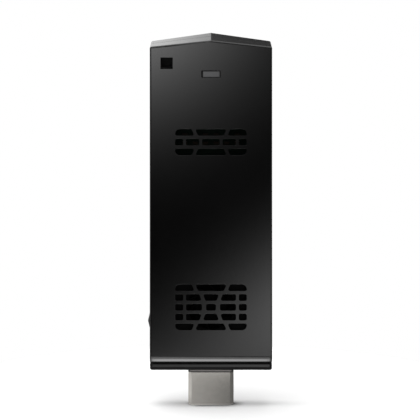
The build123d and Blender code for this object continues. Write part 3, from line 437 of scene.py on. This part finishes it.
def stage_piece(name, mesh):
    piece = bpy.data.objects.new(name, mesh)
    bpy.context.scene.collection.objects.link(piece)
    material = bpy.data.materials.new(name)
    material.use_nodes = True
    material.node_tree.nodes.clear()
    mesh.materials.append(material)
    return piece, material


# The floor is a small white disc, so the case mirrors a dark room beyond it.
def make_floor():
    mesh = bpy.data.meshes.new("floor")
    disc = bmesh.new()
    bmesh.ops.create_circle(disc, cap_ends=True, segments=128, radius=FLOOR_RADIUS)
    disc.to_mesh(mesh)
    disc.free()
    floor, material = stage_piece("floor", mesh)
    material.cycles.emission_sampling = "NONE"
    tree = material.node_tree
    path = add_node(tree, "ShaderNodeLightPath")
    place = add_node(tree, "ShaderNodeTexCoord").outputs["Object"]
    parts = add_node(tree, "ShaderNodeSeparateXYZ")
    tree.links.new(place, parts.inputs["Vector"])
    across = parts.outputs["X"]
    away = add_node(tree, "ShaderNodeVectorMath", operation="LENGTH")
    tree.links.new(place, away.inputs[0])

    # Painted contact shadow: occlusion raised to a power darkens the floor round the plug's foot, fading out
    # towards its left side.
    contact = add_node(tree, "ShaderNodeAmbientOcclusion", samples=16)
    contact.inputs["Distance"].default_value = CONTACT_SHADOW_REACH
    depth = rescale(tree, across, CONTACT_SHADOW_START, CONTACT_SHADOW_FULL, 0.0, CONTACT_SHADOW_DEPTH, "LINEAR")
    shade = work_out(tree, "POWER", contact.outputs["AO"], depth)
    seen = add_node(tree, "ShaderNodeBsdfDiffuse")
    tree.links.new(work_out(tree, "MULTIPLY", shade, FLOOR_COLOUR), seen.inputs["Color"])

    ramp = rescale(tree, across, GLOW_LEFT_END, GLOW_RIGHT_END, GLOW_LEFT, GLOW_RIGHT, "LINEAR")
    near = rescale(tree, away.outputs["Value"], GLOW_FULL, GLOW_EDGE, 1.0, 0.0, "SMOOTHERSTEP")
    glow = add_node(tree, "ShaderNodeEmission")
    tree.links.new(work_out(tree, "MULTIPLY", ramp, near), glow.inputs["Strength"])

    soft = add_node(tree, "ShaderNodeBsdfDiffuse")
    soft.inputs["Color"].default_value = (*grey(FLOOR_BOUNCE), 1)
    unseen = mix_shaders(tree, path.outputs["Is Glossy Ray"], soft.outputs["BSDF"], glow.outputs["Emission"])
    surface = mix_shaders(tree, path.outputs["Is Camera Ray"], unseen, seen.outputs["BSDF"])
    tree.links.new(surface, add_node(tree, "ShaderNodeOutputMaterial").inputs["Surface"])
    return floor


# The room: white to the camera, bright behind and to the left in gloss, even for soft light.
def make_world():
    world = bpy.data.worlds.new("room")
    bpy.context.scene.world = world
    world.use_nodes = True
    tree = world.node_tree
    tree.nodes.clear()
    way = add_node(tree, "ShaderNodeSeparateXYZ")
    tree.links.new(add_node(tree, "ShaderNodeTexCoord").outputs["Generated"], way.inputs["Vector"])
    across, forth, up = way.outputs["X"], way.outputs["Y"], way.outputs["Z"]
    behind = rescale(tree, across, -0.03, 0.03, LEFT_LEVEL, RIGHT_LEVEL)
    level = rescale(tree, forth, 0.0, 0.5, FRONT_LEVEL, behind)
    raised = rescale(tree, up, 0.35, 0.8, level, TOP_LEVEL)
    beside = rescale(tree, forth, -0.8, -0.3, 0.0, SIDE_LEVEL)
    low = rescale(tree, forth, 0.1, 0.6, beside, BACK_LEVEL)
    mirrored = rescale(tree, up, -0.12, -0.02, low, raised)
    path = add_node(tree, "ShaderNodeLightPath")
    strength = SOFT_LIGHT
    for ray, seen in (("Is Glossy Ray", mirrored), ("Is Camera Ray", 1.0)):
        choice = add_node(tree, "ShaderNodeMix", data_type="FLOAT")
        tree.links.new(path.outputs[ray], choice.inputs["Factor"])
        feed(tree, choice.inputs["A"], strength)
        feed(tree, choice.inputs["B"], seen)
        strength = choice.outputs["Result"]
    sky = add_node(tree, "ShaderNodeBackground")
    sky.inputs["Color"].default_value = (1, 1, 1, 1)
    tree.links.new(strength, sky.inputs["Strength"])
    tree.links.new(sky.outputs["Background"], add_node(tree, "ShaderNodeOutputWorld").inputs["Surface"])


# A card that glows softly in places, and shows only as sheen on the object.
def make_card(name, form, glows):
    depth, low, high = form
    half = CARD_HALF_WIDTH
    corners = [(-half, depth, low), (half, depth, low), (half, depth, high), (-half, depth, high)]
    mesh = bpy.data.meshes.new(name)
    mesh.from_pydata([Vector(c) * MM for c in corners], [], [(0, 1, 2, 3)])
    card, material = stage_piece(name, mesh)
    for kind in ("camera", "diffuse", "transmission", "volume_scatter", "shadow"):
        setattr(card, "visible_" + kind, False)
    tree = material.node_tree
    split = add_node(tree, "ShaderNodeSeparateXYZ")
    flat = add_node(tree, "ShaderNodeCombineXYZ")
    tree.links.new(add_node(tree, "ShaderNodeTexCoord").outputs["Object"], split.inputs["Vector"])
    tree.links.new(split.outputs["X"], flat.inputs["X"])
    tree.links.new(split.outputs["Z"], flat.inputs["Y"])
    total = 0.0
    for across, up, wide, tall, turn, peak in glows:
        mapping = add_node(tree, "ShaderNodeMapping", vector_type="TEXTURE")
        mapping.inputs["Location"].default_value = (across * MM, up * MM, 0)
        mapping.inputs["Rotation"].default_value = (0, 0, math.radians(turn))
        mapping.inputs["Scale"].default_value = (wide * MM, tall * MM, 1)
        tree.links.new(flat.outputs["Vector"], mapping.inputs["Vector"])
        length = add_node(tree, "ShaderNodeVectorMath", operation="LENGTH")
        tree.links.new(mapping.outputs["Vector"], length.inputs[0])
        square = work_out(tree, "MULTIPLY", length.outputs["Value"], length.outputs["Value"])
        falling = work_out(tree, "EXPONENT", work_out(tree, "MULTIPLY", square, -0.5))
        total = work_out(tree, "ADD", total, work_out(tree, "MULTIPLY", falling, peak))
    aside = work_out(tree, "ABSOLUTE", split.outputs["X"])
    fade = rescale(tree, aside, CARD_FADE_END, CARD_FADE_START, 0.0, 1.0)
    glow = add_node(tree, "ShaderNodeEmission")
    tree.links.new(work_out(tree, "MULTIPLY", total, fade), glow.inputs["Strength"])
    clear = add_node(tree, "ShaderNodeBsdfTransparent")
    both = add_node(tree, "ShaderNodeAddShader")
    tree.links.new(clear.outputs["BSDF"], both.inputs[0])
    tree.links.new(glow.outputs["Emission"], both.inputs[1])
    tree.links.new(both.outputs["Shader"], add_node(tree, "ShaderNodeOutputMaterial").inputs["Surface"])


def add_lamp(name, data, spot, aim, receiver):
    lamp = bpy.data.objects.new(name, data)
    lamp.location = Vector(spot) * MM
    lamp.rotation_mode = "QUATERNION"
    lamp.rotation_quaternion = (Vector(aim) - Vector(spot)).to_track_quat("-Z", "Y")
    lamp.visible_camera = False
    bpy.context.scene.collection.objects.link(lamp)
    group = bpy.data.collections.new(name)
    group.objects.link(receiver)
    lamp.light_linking.receiver_collection = group


# Small lamps for the bottom bevel, and an overhead one that only lights the floor.
def make_lamps(floor):
    for name, (spot, aim, width, height, glow) in EDGE_LAMPS.items():
        data = bpy.data.lights.new(name, "AREA")
        data.shape = "RECTANGLE"
        data.size = width * MM
        data.size_y = height * MM
        data.energy = glow * math.pi * data.size * data.size_y
        add_lamp(name, data, spot, aim, nodes["front_cover"])
    sun = bpy.data.lights.new("floor_lamp", "SUN")
    sun.energy = FLOOR_LAMP_STRENGTH * math.pi
    sun.angle = FLOOR_LAMP_SPREAD
    lean = Vector((-math.tan(FLOOR_LAMP_SIDE), -math.tan(FLOOR_LAMP_TILT), 1))
    add_lamp("floor_lamp", sun, lean * FLOOR_LAMP_HEIGHT, (0, 0, 0), floor)


make_camera()
make_world()
make_card("front_card", FRONT_CARD, FRONT_GLOWS)
make_card("back_card", BACK_CARD, BACK_GLOWS)
make_lamps(make_floor())
bpy.context.scene.view_settings.view_transform = "Standard"
